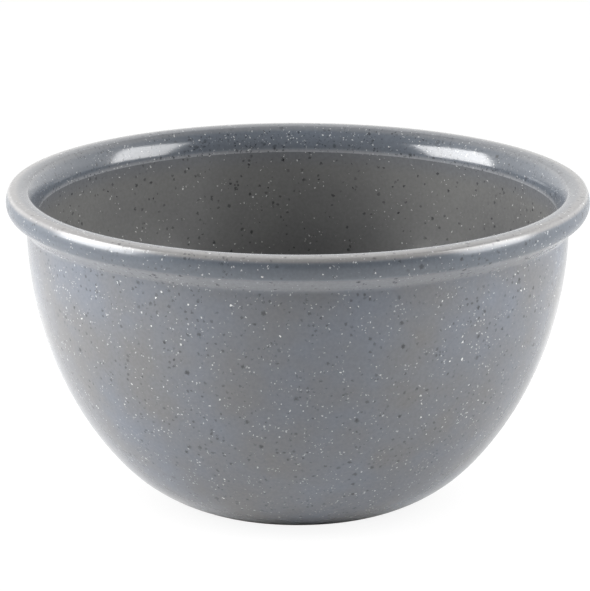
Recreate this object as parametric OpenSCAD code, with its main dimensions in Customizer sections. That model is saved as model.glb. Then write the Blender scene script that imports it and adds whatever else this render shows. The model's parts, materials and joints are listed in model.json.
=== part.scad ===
// Round bowl with a rolled rim, thrown or pressed in one piece and glazed.
// The section is drawn once, on the glazed surface, and each coat and the clay under it are taken from it.
// Units are millimetres, +Z is up, and the bowl stands on the plane z = 0 about the Z axis.

/* [Bowl] */
// Outer diameter over the rolled rim
rim_d = 160; // [140:1:190]
// Height from the table to the top of the rim
bowl_h = 87.3; // [76:0.1:104]
// Wall thickness just under the rim, glaze included
wall_t = 3.2; // [2.9:0.1:4.6]
// Floor thickness at the centre, both glazes included
floor_t = 4.6; // [3:0.1:7]
// Thickness of each coat of glaze
glaze_t = 0.35; // [0.2:0.05:0.6]

/* [Rolled rim] */
// How far the roll stands out beyond the top of the wall
rim_overhang = 5.6; // [4.7:0.05:7]
// Radius of the roll's outer face above its widest line
face_up_r = 6.5; // [3:0.1:8]
// Radius of the roll's top outer corner
corner_r = 1; // [0.7:0.1:1.9]
// Radius of the roll's broad top
top_r = 8; // [6:0.1:10]
// Radius of the roll's top inner corner
inner_corner_r = 1.5; // [0.9:0.1:3]
// Radius of the flare that runs from the roll down into the inside wall
flare_r = 9; // [5:0.1:11]
// Radius of the roll's outer face below its widest line
face_low_r = 4.3; // [3:0.1:8]
// Radius of the roll's lower outer corner
low_corner_r = 3.8; // [1.5:0.1:4.5]
// Radius of the hollow fillet between the roll and the outside wall
fillet_r = 2.5; // [1:0.1:4]

/* [Wall] */
// Height at which the outside wall begins to turn under into the base
base_rise = 12; // [9:0.5:15]
// Rise of the inside curve from the flat floor to the foot of the inside wall
floor_rise = 5; // [3:0.5:7]

/* [Foot] */
// Width of the flat ring that the bowl stands on
foot_w = 3.2; // [2:0.1:5]
// Height of the recess inside the foot ring, up to its glazed ceiling
recess_h = 2; // [1.6:0.1:3]
// Radius of the corner between the recess wall and its ceiling
recess_corner_r = 1.2; // [0.8:0.1:1.4]
// Rounding of the foot ring's inner edge
foot_edge_r = 0.5; // [0.2:0.1:0.8]
// Width of bare clay left between the foot ring and the outside glaze
bare_band_w = 1; // [0.6:0.1:3]

/* [Hidden] */
$fn = 180;

// Straight pieces per arc and per wall
arc_steps = 5;
wall_steps = 18;
// Halvings used to find the wall's proportion, and the proportions between which it is sought
solve_steps = 40;
least_share = 0.1;
most_share = 6;

// Directions of the surface's outward normal, in degrees up from level, where one arc hands over to the next
face_end = 25;
corner_end = 75;
crest = 90;
top_end = 105;
inner_corner_end = 140;
level_inward = 180;
face_low_end = -30;
low_corner_end = -50;
// Lean of the outside wall at its top, and its slope from level where it turns under and where it meets the foot
wall_lean = 1.3;
base_slope = 47.5;
foot_slope = 21;
// Slope of the inside wall from level where it runs out into the floor
floor_slope = 42;

rim_r = rim_d / 2;
neck_r = rim_r - rim_overhang;
lip_r = neck_r - wall_t;
floor_z = recess_h + floor_t;

// A point of the section is [radius, height, normal's radial part, normal's upward part]
function spot(p, a) = [p[0], p[1], cos(a), sin(a)];

// Points along an arc from normal direction a to normal direction b. side is 1 where the arc bulges
// out of the bowl and -1 where it is hollow
function arc(p, r, a, b, side = 1) =
    [for (i = [0:arc_steps])
        let (s = a + (b - a) * i / arc_steps)
        spot([p[0] + side * r * (cos(s) - cos(a)), p[1] + side * r * (sin(s) - sin(a))], s)];

// The point where an arc ends
function arc_end(p, r, a, b, side = 1) =
    [p[0] + side * r * (cos(b) - cos(a)), p[1] + side * r * (sin(b) - sin(a))];

// The same outline pushed into the clay by depth t
function sunk(c, t) = [for (q = c) [q[0] - t * q[2], q[1] - t * q[3]]];
function face(c) = [for (q = c) [q[0], q[1]]];
function reversed(c) = [for (i = [len(c) - 1:-1:0]) c[i]];
function last(c) = c[len(c) - 1];
// All but the first point, for a stretch that starts where the one before it ended
function rest(c) = [for (i = [1:len(c) - 1]) c[i]];

// An oval wall from its top (radius r, lean from upright) to its foot, drop lower, where it slopes by
// slope from level. share is the oval's height over its radius
function drop_share(share, lean, slope) =
    let (t1 = atan(share * tan(lean)), t2 = atan(share / tan(slope)))
    share * (sin(t2) / cos(t1) - tan(t1));
function oval_share(r, drop, lean, slope, lo = least_share, hi = most_share, n = solve_steps) =
    let (mid = (lo + hi) / 2)
    n == 0 ? mid
        : drop_share(mid, lean, slope) * r < drop
            ? oval_share(r, drop, lean, slope, mid, hi, n - 1)
            : oval_share(r, drop, lean, slope, lo, mid, n - 1);
function oval(r, top_z, drop, lean, slope, side) =
    let (share = oval_share(r, drop, lean, slope),
         t1 = atan(share * tan(lean)),
         t2 = atan(share / tan(slope)),
         a = r / cos(t1),
         b = share * a,
         centre_z = top_z + b * sin(t1))
    [for (i = [0:wall_steps])
        let (t = t1 + (t2 - t1) * i / wall_steps,
             down = [a * sin(t), b * cos(t)],
             size = norm(down))
        [a * cos(t), centre_z - b * sin(t), side * down[1] / size, -side * down[0] / size]];

// The roll, from its widest line up over the top and in to the lip
crest_rise = face_up_r * sin(face_end) + corner_r * (sin(corner_end) - sin(face_end))
    + top_r * (sin(crest) - sin(corner_end));
widest = [rim_r, bowl_h - crest_rise];
face_top = arc_end(widest, face_up_r, 0, face_end);
corner_top = arc_end(face_top, corner_r, face_end, corner_end);
top_inner = arc_end(corner_top, top_r, corner_end, top_end);
flare_top = arc_end(top_inner, inner_corner_r, top_end, inner_corner_end);
// The flare's radius is limited by its wall: it takes no more than this share of the room from the roll in
// to the lip, and a straight stretch takes the rest
flare_share = 0.95;
flare_room = flare_top[0] - lip_r;
flare_turn = cos(inner_corner_end) - cos(level_inward);
flare_fit_r = min(flare_r, flare_share * flare_room / flare_turn);
flare_straight = (flare_room - flare_fit_r * flare_turn) / sin(inner_corner_end);
flare_mid = [flare_top[0] - flare_straight * sin(inner_corner_end),
    flare_top[1] + flare_straight * cos(inner_corner_end)];
lip = arc_end(flare_mid, flare_fit_r, inner_corner_end, level_inward);

// The roll, from its widest line down and in to the top of the outside wall
face_bottom = arc_end(widest, face_low_r, 0, face_low_end);
low_corner = arc_end(face_bottom, low_corner_r, face_low_end, low_corner_end);
fillet_run = fillet_r * (cos(wall_lean) - cos(low_corner_end));
under_straight = (low_corner[0] - fillet_run - neck_r) / -sin(low_corner_end);
under_in = [low_corner[0] + under_straight * sin(low_corner_end),
    low_corner[1] - under_straight * cos(low_corner_end)];
neck = arc_end(under_in, fillet_r, low_corner_end, -wall_lean, -1);

// The outside wall and the arc that turns it under into the foot
outer_wall = oval(neck_r, neck[1], neck[1] - base_rise, wall_lean, base_slope, 1);
turn = last(outer_wall);
turn_r = base_rise / (cos(foot_slope) - cos(base_slope));
foot_r = turn[0] - turn_r * (sin(base_slope) - sin(foot_slope));
glaze_stop_slope = asin(sin(foot_slope) + bare_band_w / turn_r);
turn_arc = arc([turn[0], turn[1]], turn_r, base_slope - crest, glaze_stop_slope - crest);

// The inside wall and the arc that runs it out into the floor
inner_wall = oval(lip_r, lip[1], lip[1] - floor_z - floor_rise, 0, floor_slope, -1);
run_out = last(inner_wall);
run_out_r = floor_rise / (1 - cos(floor_slope));
floor_arc = arc([run_out[0], run_out[1]], run_out_r, crest + floor_slope, crest, -1);

// The glazed surface, lip to foot outside and lip to centre inside
outside_curve = concat(
    reversed(arc(flare_mid, flare_fit_r, inner_corner_end, level_inward)),
    reversed(arc(top_inner, inner_corner_r, top_end, inner_corner_end)),
    rest(reversed(arc(corner_top, top_r, corner_end, top_end))),
    rest(reversed(arc(face_top, corner_r, face_end, corner_end))),
    rest(reversed(arc(widest, face_up_r, 0, face_end))),
    rest(arc(widest, face_low_r, 0, face_low_end)),
    rest(arc(face_bottom, low_corner_r, face_low_end, low_corner_end)),
    arc(under_in, fillet_r, low_corner_end, -wall_lean, -1),
    rest(outer_wall),
    rest(turn_arc));
inside_curve = concat(inner_wall, rest(floor_arc), [[0, floor_z, 0, 1]]);

// The recess inside the foot ring, from its bare lower edge to the centre
ring_in_r = foot_r - foot_w;
ring_edge = arc([ring_in_r + foot_edge_r, 0], foot_edge_r, -crest, -level_inward);
recess_curve = concat(
    arc([ring_in_r, recess_h - recess_corner_r], recess_corner_r, level_inward, level_inward + crest, -1),
    [[0, recess_h, 0, -1]]);

// A coat of glaze, as thick as glaze_t, under a stretch of the glazed surface
module coat(curve) {
    rotate_extrude()
        polygon(concat(face(curve), reversed(sunk(curve, glaze_t))));
}

module clay_body() {
    color("wheat")
        rotate_extrude()
            polygon(concat(
                reversed(sunk(inside_curve, glaze_t)),
                sunk(outside_curve, glaze_t),
                [[foot_r, 0]],
                face(ring_edge),
                [[ring_in_r, recess_h - recess_corner_r]],
                sunk(recess_curve, glaze_t)));
}

module outside_glaze() {
    color("slategray")
        coat(outside_curve);
}

module inside_glaze() {
    color("dimgray")
        coat(inside_curve);
}

module base_glaze() {
    color("lightslategray")
        coat(recess_curve);
}

clay_body();
outside_glaze();
inside_glaze();
base_glaze();
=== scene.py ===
"""A deep round bowl in speckled grey stoneware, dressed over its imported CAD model.

The clay body stays as the CAD has it. The three coats of glaze are made again as smooth skins on the same
section, and get the speckled finish. Lengths in the classes are millimetres, and Blender's are metres.
"""

import json
import logging
import math
from dataclasses import dataclass
from enum import Enum

import bmesh
import bpy
from mathutils import Matrix, Vector

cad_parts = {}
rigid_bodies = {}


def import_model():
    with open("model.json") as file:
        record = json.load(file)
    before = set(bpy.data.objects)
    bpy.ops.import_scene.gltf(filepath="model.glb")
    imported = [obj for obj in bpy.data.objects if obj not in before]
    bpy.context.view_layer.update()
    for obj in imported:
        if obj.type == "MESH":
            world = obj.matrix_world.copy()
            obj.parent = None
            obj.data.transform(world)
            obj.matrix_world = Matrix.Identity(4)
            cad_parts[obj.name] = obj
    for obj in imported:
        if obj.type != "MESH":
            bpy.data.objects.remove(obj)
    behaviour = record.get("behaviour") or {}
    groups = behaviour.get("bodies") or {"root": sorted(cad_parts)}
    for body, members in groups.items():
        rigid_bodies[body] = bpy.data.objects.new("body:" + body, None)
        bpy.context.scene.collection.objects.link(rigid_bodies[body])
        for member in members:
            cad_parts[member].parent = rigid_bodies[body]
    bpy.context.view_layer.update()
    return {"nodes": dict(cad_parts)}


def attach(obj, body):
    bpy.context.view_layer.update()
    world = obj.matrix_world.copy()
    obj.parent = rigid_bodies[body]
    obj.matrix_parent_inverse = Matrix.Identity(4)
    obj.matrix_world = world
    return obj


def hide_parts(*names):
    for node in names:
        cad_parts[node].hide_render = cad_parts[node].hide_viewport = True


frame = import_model()

MM = 0.001
LOG = logging.getLogger("bowl")
IMAGE_W = 590

# The sRGB curve: a straight foot, and a power above it
SRGB_FOOT_END = 0.04045
SRGB_FOOT_SLOPE = 12.92
SRGB_OFFSET = 0.055
SRGB_POWER = 2.4

# The proportions between which an oval wall is sought, and how often that span is halved
LEAST_SHARE = 0.1
MOST_SHARE = 6.0
HALVINGS = 40

# Points of a turned line that are nearer than this are one
MERGE_MM = 0.0005
# A point this near to a wanted edge, in mm, is on it
NEAR_MM = 0.01


def linear(code: str) -> tuple[float, float, float, float]:
    """Turns a colour into the linear light that Blender mixes.

    Args:
        code: The colour as an sRGB hex value, such as "6d6e72".

    Returns:
        Linear red, green and blue from 0 to 1, and an alpha of 1.
    """
    parts = [int(code[i:i + 2], 16) / 255 for i in (0, 2, 4)]
    red, green, blue = [
        p / SRGB_FOOT_SLOPE if p <= SRGB_FOOT_END else ((p + SRGB_OFFSET) / (1 + SRGB_OFFSET)) ** SRGB_POWER
        for p in parts]
    return (red, green, blue, 1.0)


def grey(level: float) -> tuple[float, float, float, float]:
    """A neutral colour of that linear lightness."""
    return (level, level, level, 1.0)


def add_node(tree: bpy.types.NodeTree, kind: str, settings: dict[str, object] | None = None,
             inputs: dict[int | str, object] | None = None) -> bpy.types.Node:
    """Adds a node with its settings, and fills or links its inputs.

    Args:
        tree: The node tree that gets the node.
        kind: Blender's name for the kind of node.
        settings: The node's own settings by name.
        inputs: What goes into its inputs, by their name or place: a value, or an output to link.

    Returns:
        The new node.
    """
    node = tree.nodes.new(kind)
    for name, value in (settings or {}).items():
        setattr(node, name, value)
    for key, value in (inputs or {}).items():
        if isinstance(value, bpy.types.NodeSocket):
            tree.links.new(value, node.inputs[key])
        else:
            node.inputs[key].default_value = value
    return node


def radius_of(tree: bpy.types.NodeTree, place: bpy.types.NodeSocket) -> bpy.types.NodeSocket:
    """Makes the nodes that give a place's distance from the bowl's axis.

    Args:
        tree: The material's node tree.
        place: The place on the piece, in metres.

    Returns:
        The output with the distance, in metres.
    """
    level = add_node(tree, "ShaderNodeVectorMath", {"operation": "MULTIPLY"},
                     {0: place, 1: (1, 1, 0)}).outputs[0]
    return add_node(tree, "ShaderNodeVectorMath", {"operation": "LENGTH"}, {0: level}).outputs[1]


def empty_material(name: str) -> bpy.types.Material:
    """Makes a material with nodes, and none of them yet."""
    mat = bpy.data.materials.new(name)
    mat.use_nodes = True
    mat.node_tree.nodes.clear()
    return mat


class Slot(Enum):
    """The record's material slots of the three glazes."""

    OUTSIDE = "glaze_outside"
    INSIDE = "glaze_inside"
    BASE = "glaze_base"


@dataclass(frozen=True)
class Specks:
    """One kind of grain that shows through a glaze, strewn through the space that the surface cuts.

    A cut through a round grain is a round spot from any side, so the spots don't stretch on the curved wall.
    Grains with a within_mm show only on the rim: inside that radius and above above_mm.
    """

    colour: str
    per_cm2: float
    widest_mm: float
    strength: float
    edge_share: float
    gather_mm: float
    gather_share: float
    seed: float
    within_mm: float = 0.0
    above_mm: float = 0.0
    seed_turn: float = 0.7
    mean_share: float = 0.6
    smallest_share: float = 0.4
    faintest_share: float = 0.5
    cloud_middle: float = 0.5
    cloud_spread: float = 0.25
    cloud_under: float = 0.03
    cloud_over: float = 0.05
    kept_apart: float = 0.1
    kept_gathered: float = 0.95
    within_fade_mm: float = 1.5

    def mask(self, tree: bpy.types.NodeTree, place: bpy.types.NodeSocket) -> bpy.types.NodeSocket:
        """Makes the nodes that say where the grains show.

        Args:
            tree: The material's node tree.
            place: The place on the piece, in metres.

        Returns:
            The output that is 1 in a grain and 0 beside it.
        """
        radius_cm = self.widest_mm / 20
        per_cm3 = self.per_cm2 / (2 * radius_cm * self.mean_share * self.gather_share)
        scale = 100 * per_cm3 ** (1 / 3)
        moved = add_node(tree, "ShaderNodeVectorMath", {"operation": "ADD"},
                         {0: place, 1: (self.seed, -self.seed, self.seed * self.seed_turn)}).outputs[0]
        cells = add_node(tree, "ShaderNodeTexVoronoi", {"voronoi_dimensions": "3D", "feature": "F1"},
                         {"Vector": moved, "Scale": scale, "Randomness": 1.0})
        chance = add_node(tree, "ShaderNodeSeparateColor", {}, {0: cells.outputs["Color"]})
        reach = self.widest_mm / 2 * MM * scale
        size = add_node(tree, "ShaderNodeMapRange", {}, {
            "Value": chance.outputs[0], "To Min": self.smallest_share * reach, "To Max": reach}).outputs[0]
        core = add_node(tree, "ShaderNodeMath", {"operation": "MULTIPLY"},
                        {0: size, 1: 1 - self.edge_share}).outputs[0]
        spot = add_node(tree, "ShaderNodeMapRange", {"interpolation_type": "SMOOTHSTEP"}, {
            "Value": cells.outputs["Distance"], "From Min": core, "From Max": size,
            "To Min": 1.0, "To Max": 0.0}).outputs[0]
        clouds = add_node(tree, "ShaderNodeTexNoise", {"noise_dimensions": "3D"}, {
            "Vector": moved, "Scale": 1 / (self.gather_mm * MM), "Detail": 1.0}).outputs[0]
        middle = self.cloud_middle + self.cloud_spread * (self.cloud_middle - self.gather_share)
        kept = add_node(tree, "ShaderNodeMapRange", {}, {
            "Value": clouds, "From Min": middle - self.cloud_under, "From Max": middle + self.cloud_over,
            "To Min": self.kept_apart, "To Max": self.kept_gathered}).outputs[0]
        there = add_node(tree, "ShaderNodeMath", {"operation": "LESS_THAN"},
                         {0: chance.outputs[1], 1: kept}).outputs[0]
        depth = add_node(tree, "ShaderNodeMapRange", {}, {
            "Value": chance.outputs[2], "To Min": self.faintest_share * self.strength,
            "To Max": self.strength}).outputs[0]
        shown = add_node(tree, "ShaderNodeMath", {"operation": "MULTIPLY"}, {0: spot, 1: there}).outputs[0]
        mask = add_node(tree, "ShaderNodeMath", {"operation": "MULTIPLY"}, {0: shown, 1: depth}).outputs[0]
        if self.within_mm:
            mask = self.on_rim(tree, place, mask)
        return mask

    def on_rim(self, tree: bpy.types.NodeTree, place: bpy.types.NodeSocket,
               mask: bpy.types.NodeSocket) -> bpy.types.NodeSocket:
        """Keeps the grains to the rim's top, in from its outer edge.

        Args:
            tree: The material's node tree.
            place: The place on the piece, in metres.
            mask: The output that is 1 in a grain.

        Returns:
            The same output, 0 off the rim.
        """
        inner = add_node(tree, "ShaderNodeMapRange", {"interpolation_type": "SMOOTHSTEP"}, {
            "Value": radius_of(tree, place), "From Min": (self.within_mm - self.within_fade_mm) * MM,
            "From Max": self.within_mm * MM, "To Min": 1.0, "To Max": 0.0}).outputs[0]
        high = add_node(tree, "ShaderNodeMath", {"operation": "GREATER_THAN"}, {
            0: add_node(tree, "ShaderNodeSeparateXYZ", {}, {0: place}).outputs[2],
            1: self.above_mm * MM}).outputs[0]
        both = add_node(tree, "ShaderNodeMath", {"operation": "MULTIPLY"}, {0: inner, 1: high}).outputs[0]
        return add_node(tree, "ShaderNodeMath", {"operation": "MULTIPLY"}, {0: mask, 1: both}).outputs[0]


@dataclass(frozen=True)
class SpeckledGlaze:
    """Glossy stoneware glaze in slate grey, with pale and dark grains: it gives the eye a soft glassy shine,
    a slightly cloudy ground, a bluer tone where the glaze lies thick, deepened as painted reflection of the
    dark studio, a warm line where it runs thin, and a pale band under the roll, thinner glaze with painted
    light from the white table."""

    name: str
    ground: str
    cloud: str
    # Painted reflection: the thick tone is darker and bluer, standing in for the dark studio mirrored in the
    # rim
    thick_and_reflection: str
    thin: str
    # Painted light: the under tone is a pale band of the white table's light under the roll, over thinner
    # glaze
    under_roll_light: str
    thick_and_reflection_from_mm: float
    thick_and_reflection_to_mm: float
    thin_from_mm: float
    under_roll_light_at_mm: float
    roughness: float
    specks: tuple[Specks, ...]
    worn_more: float = 0.0
    ior: float = 1.5
    # Clouds of the ground colour, and how far they move the line where the thick tone, with its painted
    # reflection, begins
    cloud_mm: float = 22.0
    cloud_detail: float = 3.0
    cloud_rough: float = 0.55
    cloud_from: float = 0.35
    cloud_to: float = 0.7
    drift_mm: float = 3.0
    # The most of each tone and its heights: thick with painted reflection, thin, and the under-roll band of
    # painted light
    thick_and_reflection_most: float = 0.85
    thin_over_mm: float = 1.2
    thin_most: float = 0.8
    under_roll_light_half_mm: float = 1.0
    under_roll_light_end_mm: float = 2.4
    under_roll_light_most: float = 0.6
    # The outer edge of the rim, where the glaze is thinner and more worn than on the rim's top
    outer_from_mm: float = 76.0
    outer_to_mm: float = 78.0
    inner_share: float = 0.35
    # The glaze's own grain is about 0.3 mm, too fine to show, so it is drawn at 0.9 mm
    grain_mm: float = 0.9
    grain_from: float = 0.3
    grain_to: float = 0.7
    grain_darkest: float = 0.93
    grain_lightest: float = 1.07
    # How far the specks' edges are torn, and how finely
    ragged_mm: float = 0.9
    torn_mm: float = 0.5
    # Heights of the slow ripple that the flowing glaze leaves, of the grain, and of a speck
    ripple_mm: float = 7.0
    ripple_high_mm: float = 0.030
    grain_high_mm: float = 0.0016
    speck_high_mm: float = 0.004
    # The clouds make the gloss uneven, too
    rough_from: float = 0.3
    rough_to: float = 0.75
    rough_least_share: float = 0.85
    rough_most_share: float = 1.25

    def material(self) -> bpy.types.Material:
        """Makes the glaze's material.

        Returns:
            The material, which reads the piece's own object coordinates.
        """
        mat = empty_material(self.name)
        tree = mat.node_tree
        place = add_node(tree, "ShaderNodeTexCoord").outputs["Object"]
        broad = add_node(tree, "ShaderNodeTexNoise", {}, {
            "Vector": place, "Scale": 1 / (self.cloud_mm * MM), "Detail": self.cloud_detail,
            "Roughness": self.cloud_rough}).outputs[0]
        outer = add_node(tree, "ShaderNodeMapRange", {"interpolation_type": "SMOOTHSTEP"}, {
            "Value": radius_of(tree, place), "From Min": self.outer_from_mm * MM,
            "From Max": self.outer_to_mm * MM, "To Min": self.inner_share, "To Max": 1.0}).outputs[0]
        grain = add_node(tree, "ShaderNodeTexNoise", {}, {
            "Vector": place, "Scale": 1 / (self.grain_mm * MM), "Detail": 2.0}).outputs[0]
        colour = self.flowed(tree, place, broad, outer)
        grain_light = add_node(tree, "ShaderNodeMapRange", {}, {
            "Value": grain, "From Min": self.grain_from, "From Max": self.grain_to,
            "To Min": self.grain_darkest, "To Max": self.grain_lightest}).outputs[0]
        colour = add_node(tree, "ShaderNodeVectorMath", {"operation": "SCALE"},
                          {0: colour, "Scale": grain_light}).outputs[0]
        colour, masks = self.speckled(tree, place, colour)
        rough = add_node(tree, "ShaderNodeMapRange", {}, {
            "Value": broad, "From Min": self.rough_from, "From Max": self.rough_to,
            "To Min": self.roughness * self.rough_least_share,
            "To Max": self.roughness * self.rough_most_share}).outputs[0]
        worn = add_node(tree, "ShaderNodeMath", {"operation": "MULTIPLY_ADD"},
                        {0: outer, 1: self.worn_more, 2: rough}).outputs[0]
        shader = add_node(tree, "ShaderNodeBsdfPrincipled", {}, {
            "Base Color": colour, "Roughness": worn, "IOR": self.ior,
            "Normal": self.relief(tree, place, grain, masks)})
        add_node(tree, "ShaderNodeOutputMaterial", {}, {0: shader.outputs[0]})
        return mat

    def flowed(self, tree: bpy.types.NodeTree, place: bpy.types.NodeSocket, broad: bpy.types.NodeSocket,
               outer: bpy.types.NodeSocket) -> bpy.types.NodeSocket:
        """Makes the nodes for the colour of the flowed glaze: cloudy, thick with painted reflection, thin on
        the edge, and pale under the roll with painted light.

        Args:
            tree: The material's node tree.
            place: The place on the piece, in metres.
            broad: The clouds.
            outer: 1 at the rim's outer edge, and less on its top.

        Returns:
            The output with the colour.
        """
        height = add_node(tree, "ShaderNodeSeparateXYZ", {}, {0: place}).outputs[2]
        cloud_share = add_node(tree, "ShaderNodeMapRange", {}, {
            "Value": broad, "From Min": self.cloud_from, "From Max": self.cloud_to}).outputs[0]
        drift = add_node(tree, "ShaderNodeMath", {"operation": "MULTIPLY_ADD"},
                         {0: broad, 1: self.drift_mm * MM, 2: height}).outputs[0]
        # Painted reflection: the rim's band of thick glaze is darkened for the dark studio that it mirrors
        thick_and_reflection_share = add_node(tree, "ShaderNodeMapRange", {"interpolation_type": "SMOOTHSTEP"}, {
            "Value": drift, "From Min": self.thick_and_reflection_from_mm * MM, "From Max": self.thick_and_reflection_to_mm * MM,
            "To Max": self.thick_and_reflection_most}).outputs[0]
        edge_share = add_node(tree, "ShaderNodeMapRange", {"interpolation_type": "SMOOTHSTEP"}, {
            "Value": height, "From Min": self.thin_from_mm * MM,
            "From Max": (self.thin_from_mm + self.thin_over_mm) * MM, "To Max": self.thin_most}).outputs[0]
        thin_share = add_node(tree, "ShaderNodeMath", {"operation": "MULTIPLY"},
                              {0: edge_share, 1: outer}).outputs[0]
        # Painted light: a pale band round the roll's underside for the white table's light, over thinner
        # glaze there
        off = add_node(tree, "ShaderNodeMath", {"operation": "SUBTRACT"}, {
            0: height, 1: self.under_roll_light_at_mm * MM}).outputs[0]
        under_roll_light_share = add_node(tree, "ShaderNodeMapRange", {"interpolation_type": "SMOOTHSTEP"}, {
            "Value": add_node(tree, "ShaderNodeMath", {"operation": "ABSOLUTE"}, {0: off}).outputs[0],
            "From Min": self.under_roll_light_half_mm * MM, "From Max": self.under_roll_light_end_mm * MM,
            "To Min": self.under_roll_light_most, "To Max": 0.0}).outputs[0]
        colour: object = linear(self.ground)
        # The thick tone is deepened as painted reflection, and the under tone is painted light from the table
        # over thinner glaze
        for share, tone in ((cloud_share, self.cloud), (thick_and_reflection_share, self.thick_and_reflection),
                            (thin_share, self.thin), (under_roll_light_share, self.under_roll_light)):
            colour = add_node(tree, "ShaderNodeMix", {"data_type": "RGBA"}, {
                0: share, 6: colour, 7: linear(tone)}).outputs[2]
        return colour

    def speckled(self, tree: bpy.types.NodeTree, place: bpy.types.NodeSocket,
                 colour: bpy.types.NodeSocket) -> tuple[bpy.types.NodeSocket, list[bpy.types.NodeSocket]]:
        """Strews the specks over the colour, with torn edges.

        Args:
            tree: The material's node tree.
            place: The place on the piece, in metres.
            colour: The output with the glaze's colour.

        Returns:
            The output with the speckled colour, and each kind of speck's mask.
        """
        torn = add_node(tree, "ShaderNodeTexNoise", {}, {
            "Vector": place, "Scale": 1 / (self.torn_mm * MM), "Detail": 1.0}).outputs[1]
        ragged = add_node(tree, "ShaderNodeVectorMath", {"operation": "MULTIPLY_ADD"}, {
            0: torn, 1: (self.ragged_mm * MM,) * 3, 2: place}).outputs[0]
        masks = []
        for speck in self.specks:
            mask = speck.mask(tree, ragged)
            colour = add_node(tree, "ShaderNodeMix", {"data_type": "RGBA"}, {
                0: mask, 6: colour, 7: linear(speck.colour)}).outputs[2]
            masks.append(mask)
        return colour, masks

    def relief(self, tree: bpy.types.NodeTree, place: bpy.types.NodeSocket, grain: bpy.types.NodeSocket,
               masks: list[bpy.types.NodeSocket]) -> bpy.types.NodeSocket:
        """Makes the nodes that give the surface its ripple, its grain and its raised specks.

        Args:
            tree: The material's node tree.
            place: The place on the piece, in metres.
            grain: The fine grain.
            masks: Each kind of speck's mask.

        Returns:
            The output with the surface's normal.
        """
        ripple = add_node(tree, "ShaderNodeTexNoise", {}, {
            "Vector": place, "Scale": 1 / (self.ripple_mm * MM), "Detail": 1.0}).outputs[0]
        ripple_up = add_node(tree, "ShaderNodeMath", {"operation": "MULTIPLY"},
                             {0: ripple, 1: self.ripple_high_mm * MM}).outputs[0]
        raised = add_node(tree, "ShaderNodeMath", {"operation": "MULTIPLY_ADD"},
                          {0: grain, 1: self.grain_high_mm * MM, 2: ripple_up}).outputs[0]
        for mask in masks:
            raised = add_node(tree, "ShaderNodeMath", {"operation": "MULTIPLY_ADD"},
                              {0: mask, 1: self.speck_high_mm * MM, 2: raised}).outputs[0]
        return add_node(tree, "ShaderNodeBump", {}, {
            "Strength": 1.0, "Distance": 1.0, "Height": raised}).outputs[0]


@dataclass(frozen=True)
class BareStoneware:
    """Unglazed stoneware, wiped with a sponge before firing: it gives the eye a dry, sandy, warm grey."""

    name: str = "bare_stoneware_sponged"
    ground: str = "a39a8c"
    sand: str = "bdb4a4"
    iron: Specks = Specks(colour="5b5048", per_cm2=9.0, widest_mm=0.7, strength=0.8, edge_share=0.4,
                          gather_mm=9.0, gather_share=0.7, seed=0.61)
    roughness: float = 0.85
    rough_spread: float = 0.1
    ior: float = 1.5
    sand_mm: float = 0.6
    sand_detail: float = 4.0
    sand_rough: float = 0.65
    sand_high_mm: float = 0.12
    sand_bump: float = 0.9
    wipe_mm: float = 9.0
    wipe_share: float = 0.5
    sand_from: float = 0.55
    sand_to: float = 0.95

    def material(self) -> bpy.types.Material:
        """Makes the bare clay's material.

        Returns:
            The material, which reads the piece's own object coordinates.
        """
        mat = empty_material(self.name)
        tree = mat.node_tree
        place = add_node(tree, "ShaderNodeTexCoord").outputs["Object"]
        sand = add_node(tree, "ShaderNodeTexNoise", {}, {
            "Vector": place, "Scale": 1 / (self.sand_mm * MM), "Detail": self.sand_detail,
            "Roughness": self.sand_rough}).outputs[0]
        wiped = add_node(tree, "ShaderNodeTexNoise", {}, {
            "Vector": place, "Scale": 1 / (self.wipe_mm * MM), "Detail": 2.0}).outputs[0]
        both = add_node(tree, "ShaderNodeMath", {"operation": "MULTIPLY_ADD"},
                        {0: wiped, 1: self.wipe_share, 2: sand}).outputs[0]
        share = add_node(tree, "ShaderNodeMapRange", {}, {
            "Value": both, "From Min": self.sand_from, "From Max": self.sand_to}).outputs[0]
        colour = add_node(tree, "ShaderNodeMix", {"data_type": "RGBA"}, {
            0: share, 6: linear(self.ground), 7: linear(self.sand)}).outputs[2]
        colour = add_node(tree, "ShaderNodeMix", {"data_type": "RGBA"}, {
            0: self.iron.mask(tree, place), 6: colour, 7: linear(self.iron.colour)}).outputs[2]
        raised = add_node(tree, "ShaderNodeMath", {"operation": "MULTIPLY"},
                          {0: sand, 1: self.sand_high_mm * MM}).outputs[0]
        normal = add_node(tree, "ShaderNodeBump", {}, {
            "Strength": self.sand_bump, "Distance": 1.0, "Height": raised}).outputs[0]
        rough = add_node(tree, "ShaderNodeMapRange", {}, {
            "Value": sand, "To Min": self.roughness - self.rough_spread,
            "To Max": self.roughness + self.rough_spread}).outputs[0]
        shader = add_node(tree, "ShaderNodeBsdfPrincipled", {}, {
            "Base Color": colour, "Roughness": rough, "IOR": self.ior, "Normal": normal})
        add_node(tree, "ShaderNodeOutputMaterial", {}, {0: shader.outputs[0]})
        return mat


def facing(degrees: float) -> Vector:
    """The direction in the section that points that many degrees up from level outward."""
    return Vector((math.cos(math.radians(degrees)), 0, math.sin(math.radians(degrees))))


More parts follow.
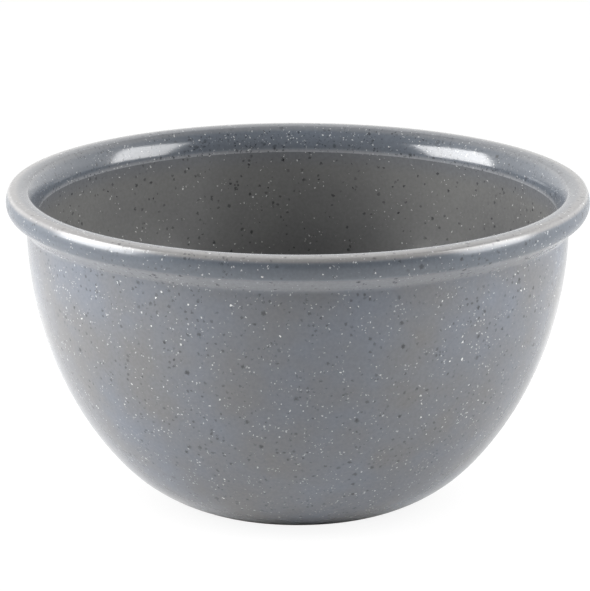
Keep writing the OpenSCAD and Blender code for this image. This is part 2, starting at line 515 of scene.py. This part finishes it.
class SectionLine:
    """A line of the bowl's section, drawn in the plane y = 0 as a chain of edges."""

    def __init__(self, radius_mm: float, height_mm: float) -> None:
        """Starts the line at a point."""
        self.mesh = bmesh.new()
        self.tip = self.mesh.verts.new((radius_mm * MM, 0, height_mm * MM))

    def place_mm(self) -> tuple[float, float]:
        """The radius and height of the line's end."""
        return self.tip.co.x / MM, self.tip.co.z / MM

    def arc(self, radius_mm: float, start: float, end: float, steps: int, hollow: bool = False) -> None:
        """Carries the line on round an arc.

        Args:
            radius_mm: The arc's radius.
            start: The direction of the surface's normal at the start, in degrees up from level outward.
            end: The same at the end.
            steps: How many edges the arc gets.
            hollow: Whether the arc is a hollow of the bowl and not a bulge.
        """
        side = -1 if hollow else 1
        centre = self.tip.co - side * radius_mm * MM * facing(start)
        swung = bmesh.ops.spin(self.mesh, geom=[self.tip], cent=centre, axis=(0, -1, 0),
                               angle=math.radians(end - start), steps=steps)
        self.tip = next(g for g in swung["geom_last"] if isinstance(g, bmesh.types.BMVert))

    def straight(self, length_mm: float, towards: float) -> None:
        """Carries the line on straight, in a direction in degrees up from level outward."""
        grown = bmesh.ops.extrude_vert_indiv(self.mesh, verts=[self.tip])
        self.tip = grown["verts"][0]
        bmesh.ops.translate(self.mesh, verts=[self.tip], vec=length_mm * MM * facing(towards))

    def to_axis(self, shares: tuple[float, ...]) -> None:
        """Carries the line on level to the bowl's axis, by these shares of what is left of the way."""
        for share in shares:
            self.straight(self.place_mm()[0] * share, 180)

    def oval(self, share: float, lean: float, slope: float, steps: int) -> None:
        """Carries the line down round an oval about the bowl's axis.

        Args:
            share: The oval's height over its radius.
            lean: The line's lean from upright at the start, in degrees.
            slope: Its slope from level at the end.
            steps: How many edges it gets.
        """
        radius, height = self.place_mm()
        first, end = oval_span(share, lean, slope)
        wide = radius / math.cos(first)
        centre = Vector((0, 0, (height + share * wide * math.sin(first)) * MM))
        start = self.mesh.verts.new(centre + wide * MM * facing(-math.degrees(first)))
        before = set(self.mesh.verts) - {start}
        swung = bmesh.ops.spin(self.mesh, geom=[start], cent=centre, axis=(0, -1, 0),
                               angle=first - end, steps=steps)
        bmesh.ops.scale(self.mesh, vec=(1, 1, share), space=Matrix.Translation(-centre),
                        verts=[v for v in self.mesh.verts if v not in before])
        bmesh.ops.weld_verts(self.mesh, targetmap={start: self.tip})
        self.tip = next(g for g in swung["geom_last"] if isinstance(g, bmesh.types.BMVert))

    def turned(self, sides: int, top_up: bool) -> bmesh.types.BMesh:
        """Turns the line round the bowl's axis, so that it becomes a sheet.

        Args:
            sides: How many flats the sheet has round the axis.
            top_up: Whether the sheet's levellest face has to look up, and not down.

        Returns:
            The sheet, with its seam and any pole closed.
        """
        bmesh.ops.spin(self.mesh, geom=self.mesh.verts[:] + self.mesh.edges[:], cent=(0, 0, 0),
                       axis=(0, 0, 1), angle=2 * math.pi, steps=sides, use_merge=True)
        bmesh.ops.remove_doubles(self.mesh, verts=self.mesh.verts[:], dist=MERGE_MM * MM)
        bmesh.ops.recalc_face_normals(self.mesh, faces=self.mesh.faces[:])
        self.mesh.normal_update()
        levellest = max(self.mesh.faces, key=lambda f: abs(f.normal.z))
        if (levellest.normal.z > 0) != top_up:
            bmesh.ops.reverse_faces(self.mesh, faces=self.mesh.faces[:])
            self.mesh.normal_update()
        return self.mesh


def oval_span(share: float, lean: float, slope: float) -> tuple[float, float]:
    """Finds the stretch of an oval that a wall follows.

    Args:
        share: The oval's height over its radius.
        lean: The wall's lean from upright at its top, in degrees.
        slope: Its slope from level at its foot.

    Returns:
        The angles in the oval at the wall's top and foot, in radians below level.
    """
    return math.atan(share * math.tan(math.radians(lean))), math.atan(share / math.tan(math.radians(slope)))


def drop_share(share: float, lean: float, slope: float) -> float:
    """How far an oval wall drops, over its radius at the top.

    Args:
        share: The oval's height over its radius.
        lean: The wall's lean from upright at its top, in degrees.
        slope: Its slope from level at its foot.

    Returns:
        The drop as a share of the radius.
    """
    first, end = oval_span(share, lean, slope)
    return share * (math.sin(end) / math.cos(first) - math.tan(first))


def oval_share(radius: float, drop: float, lean: float, slope: float) -> float:
    """Finds the oval that drops as far as the wall does.

    Args:
        radius: The wall's radius at its top.
        drop: How far the wall drops.
        lean: Its lean from upright at its top, in degrees.
        slope: Its slope from level at its foot.

    Returns:
        The oval's height over its radius.
    """
    low, high = LEAST_SHARE, MOST_SHARE
    for _ in range(HALVINGS):
        middle = (low + high) / 2
        if drop_share(middle, lean, slope) * radius < drop:
            low = middle
        else:
            high = middle
    return low


@dataclass(frozen=True)
class Bowl:
    """The bowl's sizes in millimetres, and its three skins of glaze."""

    rim_r: float = 80.0
    height: float = 87.3
    wall_t: float = 3.2
    floor_t: float = 4.6
    glaze_t: float = 0.35
    rim_overhang: float = 5.6
    face_up_r: float = 6.5
    corner_r: float = 1.0
    top_r: float = 8.0
    inner_corner_r: float = 1.5
    flare_r: float = 9.0
    face_low_r: float = 4.3
    low_corner_r: float = 3.8
    fillet_r: float = 2.5
    base_rise: float = 12.0
    floor_rise: float = 5.0
    foot_w: float = 3.2
    recess_h: float = 2.0
    recess_corner_r: float = 1.2
    bare_band_w: float = 1.0
    # Where one arc hands over to the next: the direction of the surface's normal, in degrees up from level
    face_end: float = 25.0
    corner_end: float = 75.0
    top_end: float = 105.0
    inner_corner_end: float = 140.0
    face_low_end: float = -30.0
    low_corner_end: float = -50.0
    # Slopes of the walls, in degrees: the lean from upright, and the others from level
    wall_lean: float = 1.3
    base_slope: float = 47.5
    foot_slope: float = 21.0
    floor_slope: float = 42.0
    # How the glaze stops on bare clay
    stop_round: float = 0.2
    stop_segments: int = 3
    # Edges along each stretch of the section, rings of a flat floor, and flats round the axis
    face_steps: int = 4
    corner_steps: int = 8
    top_steps: int = 8
    inner_corner_steps: int = 5
    flare_steps: int = 10
    low_steps: int = 6
    fillet_steps: int = 10
    wall_steps: int = 48
    turn_steps: int = 8
    run_out_steps: int = 10
    recess_steps: int = 6
    ring_shares: tuple[float, ...] = (0.25, 1 / 3, 0.5, 1.0)
    sides: int = 224

    def widest_z(self) -> float:
        """The height of the roll's widest line."""
        up, corner = math.radians(self.face_end), math.radians(self.corner_end)
        return self.height - (self.face_up_r * math.sin(up)
                              + self.corner_r * (math.sin(corner) - math.sin(up))
                              + self.top_r * (1 - math.sin(corner)))

    def neck_r(self) -> float:
        """The radius at the top of the outside wall."""
        return self.rim_r - self.rim_overhang

    def neck_z(self) -> float:
        """The height at the top of the outside wall."""
        low, far, lean = (math.radians(a) for a in (self.face_low_end, self.low_corner_end, self.wall_lean))
        x = (self.rim_r - self.face_low_r * (1 - math.cos(low))
             - self.low_corner_r * (math.cos(low) - math.cos(far)))
        z = (self.widest_z() + self.face_low_r * math.sin(low)
             + self.low_corner_r * (math.sin(far) - math.sin(low)))
        run = self.fillet_r * (math.cos(lean) - math.cos(far))
        straight = (x - run - self.neck_r()) / -math.sin(far)
        return z - straight * math.cos(far) + self.fillet_r * (math.sin(far) + math.sin(lean))

    def lip_r(self) -> float:
        """The radius at the top of the inside wall."""
        return self.neck_r() - self.wall_t

    def turn_r(self) -> float:
        """The radius of the arc that turns the outside wall under into the foot."""
        foot, base = math.radians(self.foot_slope), math.radians(self.base_slope)
        return self.base_rise / (math.cos(foot) - math.cos(base))

    def foot_r(self) -> float:
        """The outer radius of the foot ring."""
        share = oval_share(self.neck_r(), self.neck_z() - self.base_rise, self.wall_lean, self.base_slope)
        first, end = oval_span(share, self.wall_lean, self.base_slope)
        turn_x = self.neck_r() / math.cos(first) * math.cos(end)
        return turn_x - self.turn_r() * (math.sin(math.radians(self.base_slope))
                                         - math.sin(math.radians(self.foot_slope)))

    def roll_over(self) -> SectionLine:
        """Draws the roll from its widest line over the top and in to the lip."""
        line = SectionLine(self.rim_r, self.widest_z())
        line.arc(self.face_up_r, 0, self.face_end, self.face_steps)
        line.arc(self.corner_r, self.face_end, self.corner_end, self.corner_steps)
        line.arc(self.top_r, self.corner_end, self.top_end, self.top_steps)
        line.arc(self.inner_corner_r, self.top_end, self.inner_corner_end, self.inner_corner_steps)
        cosine = math.cos(math.radians(self.inner_corner_end))
        spare = line.place_mm()[0] - self.lip_r() - self.flare_r * (1 + cosine)
        line.straight(spare / math.sin(math.radians(self.inner_corner_end)), self.inner_corner_end + 90)
        line.arc(self.flare_r, self.inner_corner_end, 180, self.flare_steps)
        return line

    def outside_skin(self) -> bmesh.types.BMesh:
        """Makes the glaze of the outside and the roll, down to where it stops above the foot."""
        line = self.roll_over()
        widest = Vector((self.rim_r, 0, self.widest_z())) * MM
        line.tip = min(line.mesh.verts, key=lambda v: (v.co - widest).length)
        line.arc(self.face_low_r, 0, self.face_low_end, self.low_steps)
        line.arc(self.low_corner_r, self.face_low_end, self.low_corner_end, self.low_steps)
        low, lean = math.radians(self.low_corner_end), math.radians(self.wall_lean)
        run = self.fillet_r * (math.cos(lean) - math.cos(low))
        line.straight((line.place_mm()[0] - run - self.neck_r()) / -math.sin(low), self.low_corner_end - 90)
        line.arc(self.fillet_r, self.low_corner_end, -self.wall_lean, self.fillet_steps, hollow=True)
        radius, top = line.place_mm()
        share = oval_share(radius, top - self.base_rise, self.wall_lean, self.base_slope)
        line.oval(share, self.wall_lean, self.base_slope, self.wall_steps)
        stop = math.asin(math.sin(math.radians(self.foot_slope)) + self.bare_band_w / self.turn_r())
        line.arc(self.turn_r(), self.base_slope - 90, math.degrees(stop) - 90, self.turn_steps)
        edge = line.place_mm()
        return self.thickened(line.turned(self.sides, top_up=True), edge)

    def inside_skin(self) -> bmesh.types.BMesh:
        """Makes the glaze of the inside wall and the floor."""
        lip = self.roll_over()
        line = SectionLine(*lip.place_mm())
        lip.mesh.free()
        radius, top = line.place_mm()
        drop = top - self.recess_h - self.floor_t - self.floor_rise
        line.oval(oval_share(radius, drop, 0, self.floor_slope), 0, self.floor_slope, self.wall_steps)
        run_out_r = self.floor_rise / (1 - math.cos(math.radians(self.floor_slope)))
        line.arc(run_out_r, 90 + self.floor_slope, 90, self.run_out_steps, hollow=True)
        line.to_axis(self.ring_shares)
        return self.thickened(line.turned(self.sides, top_up=True), None)

    def base_skin(self) -> bmesh.types.BMesh:
        """Makes the glaze of the recess inside the foot ring."""
        line = SectionLine(self.foot_r() - self.foot_w, self.recess_h - self.recess_corner_r)
        edge = line.place_mm()
        line.arc(self.recess_corner_r, 180, 270, self.recess_steps, hollow=True)
        line.to_axis(self.ring_shares)
        return self.thickened(line.turned(self.sides, top_up=False), edge)

    def thickened(self, sheet: bmesh.types.BMesh, edge_mm: tuple[float, float] | None) -> bmesh.types.BMesh:
        """Gives a sheet the glaze's thickness, and rounds the edge where the glaze stops on bare clay.

        Args:
            sheet: The glazed surface, facing out of the bowl.
            edge_mm: Radius and height of the edge to round, or None.

        Returns:
            The closed skin.
        """
        bmesh.ops.solidify(sheet, geom=sheet.faces[:], thickness=self.glaze_t * MM)
        if edge_mm is not None:
            radius, height = edge_mm
            rounded = [e for e in sheet.edges if all(
                abs(math.hypot(v.co.x, v.co.y) / MM - radius) < NEAR_MM
                and abs(v.co.z / MM - height) < NEAR_MM for v in e.verts)]
            bmesh.ops.bevel(sheet, geom=rounded, offset=self.stop_round * MM, affect="EDGES",
                            segments=self.stop_segments, profile=0.5, material=-1, offset_type="OFFSET")
        if sheet.calc_volume(signed=True) < 0:
            bmesh.ops.reverse_faces(sheet, faces=sheet.faces[:])
        return sheet


@dataclass(frozen=True)
class Skin:
    """A finished skin of glaze: its name, what it stands for and its finish."""

    name: str
    node: str
    slot: Slot
    finish: SpeckledGlaze
    sharp_from: float = 50.0

    def place(self, mesh: bmesh.types.BMesh) -> bpy.types.Object:
        """Makes the skin's object from its mesh and dresses it.

        Args:
            mesh: The closed skin.

        Returns:
            The piece, riding on the bowl's one body.
        """
        data = bpy.data.meshes.new(self.name)
        for face in mesh.faces:
            face.smooth = True
        for edge in mesh.edges:
            edge.smooth = edge.calc_face_angle(0.0) < math.radians(self.sharp_from)
        mesh.to_mesh(data)
        mesh.free()
        data.materials.append(self.finish.material())
        piece = bpy.data.objects.new(self.name, data)
        bpy.context.scene.collection.objects.link(piece)
        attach(piece, "root")
        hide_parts(self.node)
        LOG.info("%s: %d vertices, %d faces", self.name, len(data.vertices), len(data.polygons))
        return piece


@dataclass(frozen=True)
class Softbox:
    """A square studio light with a white cloth face. Its sizes and places are metres."""

    name: str
    place: tuple[float, float, float]
    width: float
    height: float
    brightness: float
    aim: tuple[float, float, float] = (0, 0, 0.06)

    def build(self) -> None:
        """Hangs the light and turns it to the bowl."""
        lamp = bpy.data.lights.new(self.name, "AREA")
        lamp.shape = "RECTANGLE"
        lamp.size, lamp.size_y = self.width, self.height
        lamp.energy = self.brightness * math.pi * self.width * self.height
        holder = bpy.data.objects.new(self.name, lamp)
        holder.location = self.place
        aim = Vector(self.aim) - Vector(self.place)
        holder.rotation_euler = aim.to_track_quat("-Z", "Y").to_euler()
        bpy.context.scene.collection.objects.link(holder)


@dataclass(frozen=True)
class Studio:
    """The white table and walls, the dark side behind the camera, the lights and the camera."""

    # The camera's place and its frame
    distance_mm: float = 1242.2
    pitch: float = 15.0
    aim_mm: float = 56.09
    aside_mm: float = -0.74
    roll: float = 0.09
    focal_px: float = 4500.0
    sensor_mm: float = 36.0
    clip_near_m: float = 0.05
    clip_far_m: float = 50.0
    # The table: how white the camera sees it, and the faint shadow round the foot
    floor_m: float = 8.0
    floor_glow: float = 0.97
    floor_shade: float = 0.05
    shadow_from_mm: float = 30.0
    shadow_to_mm: float = 54.0
    shadow_seen: float = 0.08
    # The table in the glaze: lit paper near the bowl, and the white background farther out
    paper_light: float = 0.85
    white_from_m: float = 0.12
    white_to_m: float = 0.36
    # The walls' light, and the directions (as parts of a unit vector) between which they rise and end
    wall_light: float = 1.0
    dark_light: float = 0.07
    ceiling_light: float = 0.2
    front_from: float = -0.55
    front_to: float = 0.1
    ceiling_from: float = 0.6
    ceiling_to: float = 0.95
    # The walls in the glaze: how bright, and how much brighter the side walls are above the table
    wall_mirrored: float = 1.25
    side_mirrored: float = 0.8
    side_from: float = 0.2
    side_to: float = 0.5
    risen_from: float = 0.05
    risen_to: float = 0.35
    softboxes: tuple[Softbox, ...] = (
        Softbox("left_softbox", (-0.668, -0.095, 0.317), width=0.49, height=0.42, brightness=15.3),
        Softbox("right_softbox", (0.57, -0.1, 0.325), width=0.37, height=0.4, brightness=11.0))

    def camera(self) -> None:
        """Sets up the camera at the photograph's angle and distance."""
        data = bpy.data.cameras.new("camera")
        data.sensor_fit = "HORIZONTAL"
        data.sensor_width = self.sensor_mm
        data.lens = data.sensor_width * self.focal_px / IMAGE_W
        data.clip_start, data.clip_end = self.clip_near_m, self.clip_far_m
        holder = bpy.data.objects.new("camera", data)
        tilt = math.radians(self.pitch)
        holder.location = (self.aside_mm * MM, -self.distance_mm * math.cos(tilt) * MM,
                           (self.aim_mm + self.distance_mm * math.sin(tilt)) * MM)
        up = Matrix.Rotation(math.radians(90 - self.pitch), 4, "X")
        holder.rotation_euler = (up @ Matrix.Rotation(math.radians(self.roll), 4, "Z")).to_euler()
        bpy.context.scene.collection.objects.link(holder)
        bpy.context.scene.camera = holder

    def table(self) -> None:
        """Lays the white table."""
        mesh = bmesh.new()
        bmesh.ops.create_grid(mesh, x_segments=1, y_segments=1, size=self.floor_m / 2)
        data = bpy.data.meshes.new("table_top")
        mesh.to_mesh(data)
        mesh.free()
        data.materials.append(self.paper())
        floor = bpy.data.objects.new("table_top", data)
        bpy.context.scene.collection.objects.link(floor)

    def paper(self) -> bpy.types.Material:
        """Makes the table's matt white paper, which gives the eye a white ground and the bowl's faint shadow.

        Returns:
            The material. The camera sees it white, the glaze sees lit paper near the bowl and white beyond,
            and all other light falls on it as on real paper.
        """
        mat = empty_material("matt_white_paper")
        tree = mat.node_tree
        ray = add_node(tree, "ShaderNodeLightPath")
        seen = add_node(tree, "ShaderNodeMath", {"operation": "MAXIMUM"}, {
            0: ray.outputs["Is Camera Ray"], 1: ray.outputs["Is Transmission Ray"]}).outputs[0]
        place = add_node(tree, "ShaderNodeTexCoord").outputs["Object"]
        away = add_node(tree, "ShaderNodeVectorMath", {"operation": "LENGTH"}, {0: place}).outputs[1]
        near = add_node(tree, "ShaderNodeMapRange", {"interpolation_type": "SMOOTHSTEP"}, {
            "Value": away, "From Min": self.shadow_from_mm * MM, "From Max": self.shadow_to_mm * MM,
            "To Min": self.shadow_seen, "To Max": 0.0}).outputs[0]
        glow_level = add_node(tree, "ShaderNodeMapRange", {}, {
            "Value": near, "To Min": self.floor_glow, "To Max": 0.0}).outputs[0]
        paper = add_node(tree, "ShaderNodeBsdfDiffuse", {}, {"Color": grey(self.paper_light)}).outputs[0]
        shaded = add_node(tree, "ShaderNodeBsdfDiffuse", {}, {"Color": grey(self.floor_shade)}).outputs[0]
        glow = add_node(tree, "ShaderNodeEmission", {}, {"Strength": glow_level}).outputs[0]
        white = add_node(tree, "ShaderNodeAddShader", {}, {0: shaded, 1: glow}).outputs[0]
        beyond = add_node(tree, "ShaderNodeMapRange", {"interpolation_type": "SMOOTHSTEP"}, {
            "Value": away, "From Min": self.white_from_m, "From Max": self.white_to_m}).outputs[0]
        mirrored = add_node(tree, "ShaderNodeMath", {"operation": "MULTIPLY"}, {
            0: ray.outputs["Is Glossy Ray"], 1: beyond}).outputs[0]
        far_glow = add_node(tree, "ShaderNodeEmission", {}, {"Strength": 1.0}).outputs[0]
        real = add_node(tree, "ShaderNodeMixShader", {}, {0: mirrored, 1: paper, 2: far_glow}).outputs[0]
        both = add_node(tree, "ShaderNodeMixShader", {}, {0: seen, 1: real, 2: white}).outputs[0]
        add_node(tree, "ShaderNodeOutputMaterial", {}, {0: both})
        return mat

    def room(self) -> None:
        """Makes the world: white walls behind and beside the bowl, dark behind the camera and dim overhead.

        The camera sees it white all over. The glaze mirrors the walls brighter than white, as the
        photograph's studio is, and the side walls brightest.
        """
        world = bpy.data.worlds.new("studio")
        bpy.context.scene.world = world
        world.use_nodes = True
        tree = world.node_tree
        tree.nodes.clear()
        ray = add_node(tree, "ShaderNodeLightPath")
        way = add_node(tree, "ShaderNodeTexCoord").outputs["Generated"]
        parts = add_node(tree, "ShaderNodeSeparateXYZ", {}, {0: way})
        behind = add_node(tree, "ShaderNodeMapRange", {"interpolation_type": "SMOOTHSTEP"}, {
            "Value": parts.outputs[1], "From Min": self.front_from, "From Max": self.front_to}).outputs[0]
        low = add_node(tree, "ShaderNodeMapRange", {"interpolation_type": "SMOOTHSTEP"}, {
            "Value": parts.outputs[2], "From Min": self.ceiling_from, "From Max": self.ceiling_to,
            "To Min": 1.0, "To Max": self.ceiling_light}).outputs[0]
        wall = add_node(tree, "ShaderNodeMath", {"operation": "MULTIPLY"}, {0: behind, 1: low}).outputs[0]
        light = add_node(tree, "ShaderNodeMapRange", {}, {
            "Value": wall, "To Min": self.dark_light, "To Max": self.wall_light}).outputs[0]
        seen = add_node(tree, "ShaderNodeMath", {"operation": "MAXIMUM"}, {
            0: ray.outputs["Is Camera Ray"], 1: ray.outputs["Is Transmission Ray"]}).outputs[0]
        aside = add_node(tree, "ShaderNodeMath", {"operation": "ABSOLUTE"}, {0: parts.outputs[0]}).outputs[0]
        sideways = add_node(tree, "ShaderNodeMapRange", {"interpolation_type": "SMOOTHSTEP"}, {
            "Value": aside, "From Min": self.side_from, "From Max": self.side_to,
            "To Max": self.side_mirrored}).outputs[0]
        risen = add_node(tree, "ShaderNodeMapRange", {"interpolation_type": "SMOOTHSTEP"}, {
            "Value": parts.outputs[2], "From Min": self.risen_from, "From Max": self.risen_to}).outputs[0]
        level = add_node(tree, "ShaderNodeMath", {"operation": "MULTIPLY_ADD"},
                         {0: sideways, 1: risen, 2: self.wall_mirrored}).outputs[0]
        bright = add_node(tree, "ShaderNodeMath", {"operation": "MULTIPLY"}, {0: wall, 1: level}).outputs[0]
        mirrored = add_node(tree, "ShaderNodeMath", {"operation": "MULTIPLY"},
                            {0: ray.outputs["Is Glossy Ray"], 1: bright}).outputs[0]
        white = add_node(tree, "ShaderNodeMath", {"operation": "MAXIMUM"}, {0: seen, 1: mirrored}).outputs[0]
        strength = add_node(tree, "ShaderNodeMath", {"operation": "MAXIMUM"}, {0: light, 1: white}).outputs[0]
        sky = add_node(tree, "ShaderNodeBackground", {}, {"Color": grey(1.0), "Strength": strength})
        add_node(tree, "ShaderNodeOutputWorld", {}, {0: sky.outputs[0]})

    def build(self) -> None:
        """Sets up the whole studio."""
        self.camera()
        self.table()
        self.room()
        for softbox in self.softboxes:
            softbox.build()
        bpy.context.scene.view_settings.view_transform = "Standard"


# Grains of the outside glaze: many small pale ones, a few bright ones, dark ones, and large dark blots
PALE = Specks(colour="c0c1c2", per_cm2=14.0, widest_mm=0.66, strength=0.8, edge_share=0.5,
              gather_mm=3.5, gather_share=0.3, seed=0.17)
BRIGHT = Specks(colour="dededc", per_cm2=1.4, widest_mm=0.85, strength=0.9, edge_share=0.5,
                gather_mm=6.0, gather_share=0.5, seed=0.29)
DARK = Specks(colour="35373b", per_cm2=10.0, widest_mm=1.35, strength=0.72, edge_share=0.6,
              gather_mm=7.0, gather_share=0.5, seed=0.43)
BLOT = Specks(colour="2a2c2f", per_cm2=1.3, widest_mm=2.1, strength=0.85, edge_share=0.7,
              gather_mm=12.0, gather_share=0.7, seed=0.53)
BODY_GRAINS = (PALE, BRIGHT, DARK, BLOT)
# Finer and more crowded grains, on the rim's top and flare alone
FLARE_PALE = Specks(colour="cfcfcd", per_cm2=10.0, widest_mm=0.5, strength=0.85, edge_share=0.5,
                    gather_mm=3.0, gather_share=0.35, seed=0.37, within_mm=76.0, above_mm=78.0)
FLARE_DARK = Specks(colour="2c2e33", per_cm2=36.0, widest_mm=0.9, strength=0.9, edge_share=0.5,
                    gather_mm=3.0, gather_share=0.45, seed=0.73, within_mm=76.0, above_mm=78.0)
# Grains of the inside glaze: fewer pale ones, soft dark ones, and small black iron ones
FEW_PALE = Specks(colour="d2d2d0", per_cm2=7.0, widest_mm=0.6, strength=0.8, edge_share=0.5,
                  gather_mm=4.0, gather_share=0.4, seed=0.17)
SOOT = Specks(colour="2c2d2f", per_cm2=4.5, widest_mm=1.4, strength=0.8, edge_share=0.5,
              gather_mm=7.0, gather_share=0.55, seed=0.43)
IRON = Specks(colour="232427", per_cm2=2.0, widest_mm=1.25, strength=1.0, edge_share=0.4,
              gather_mm=9.0, gather_share=0.6, seed=0.67)

# A height above the bowl's top switches a tone off, as on the inside. The base lies under all of them
# On the outside, the thick tone carries painted reflection of the dark studio, and the pale band at 79.2 mm
# is painted light under the roll
OUTSIDE_GLAZE = SpeckledGlaze(
    "slate_glaze_outside", ground="656566", cloud="646972", thick_and_reflection="555b63", thin="8c8a88", under_roll_light="949597",
    thick_and_reflection_from_mm=76.0, thick_and_reflection_to_mm=84.5, thin_from_mm=85.5, under_roll_light_at_mm=79.2, roughness=0.1,
    specks=BODY_GRAINS + (FLARE_PALE, FLARE_DARK), worn_more=0.13)
INSIDE_GLAZE = SpeckledGlaze(
    "slate_glaze_inside", ground="636363", cloud="696968", thick_and_reflection="606266", thin="606266", under_roll_light="646464",
    thick_and_reflection_from_mm=76.0, thick_and_reflection_to_mm=82.0, thin_from_mm=95.0, under_roll_light_at_mm=200.0, roughness=0.2,
    specks=(FEW_PALE, SOOT, IRON))
BASE_GLAZE = SpeckledGlaze(
    "slate_glaze_base", ground="656566", cloud="646972", thick_and_reflection="555b63", thin="8c8a88", under_roll_light="949597",
    thick_and_reflection_from_mm=76.0, thick_and_reflection_to_mm=84.5, thin_from_mm=85.5, under_roll_light_at_mm=79.2, roughness=0.16,
    specks=BODY_GRAINS)


def dress_clay() -> None:
    """Gives the CAD's clay body its finish."""
    clay = frame["nodes"]["clay_body"]
    clay.data.materials.clear()
    clay.data.materials.append(BareStoneware().material())
    for face in clay.data.polygons:
        face.material_index = 0
    LOG.info("clay_body: dressed as it is")


def main() -> None:
    """Builds the bowl's pieces in order, then the studio round them."""
    logging.basicConfig(level=logging.INFO, format="%(message)s")
    bowl = Bowl()
    dress_clay()
    Skin("outside_glaze_skin", "outside_glaze", Slot.OUTSIDE, OUTSIDE_GLAZE).place(bowl.outside_skin())
    Skin("inside_glaze_skin", "inside_glaze", Slot.INSIDE, INSIDE_GLAZE).place(bowl.inside_skin())
    Skin("base_glaze_skin", "base_glaze", Slot.BASE, BASE_GLAZE).place(bowl.base_skin())
    Studio().build()


if __name__ == "__main__":
    main()
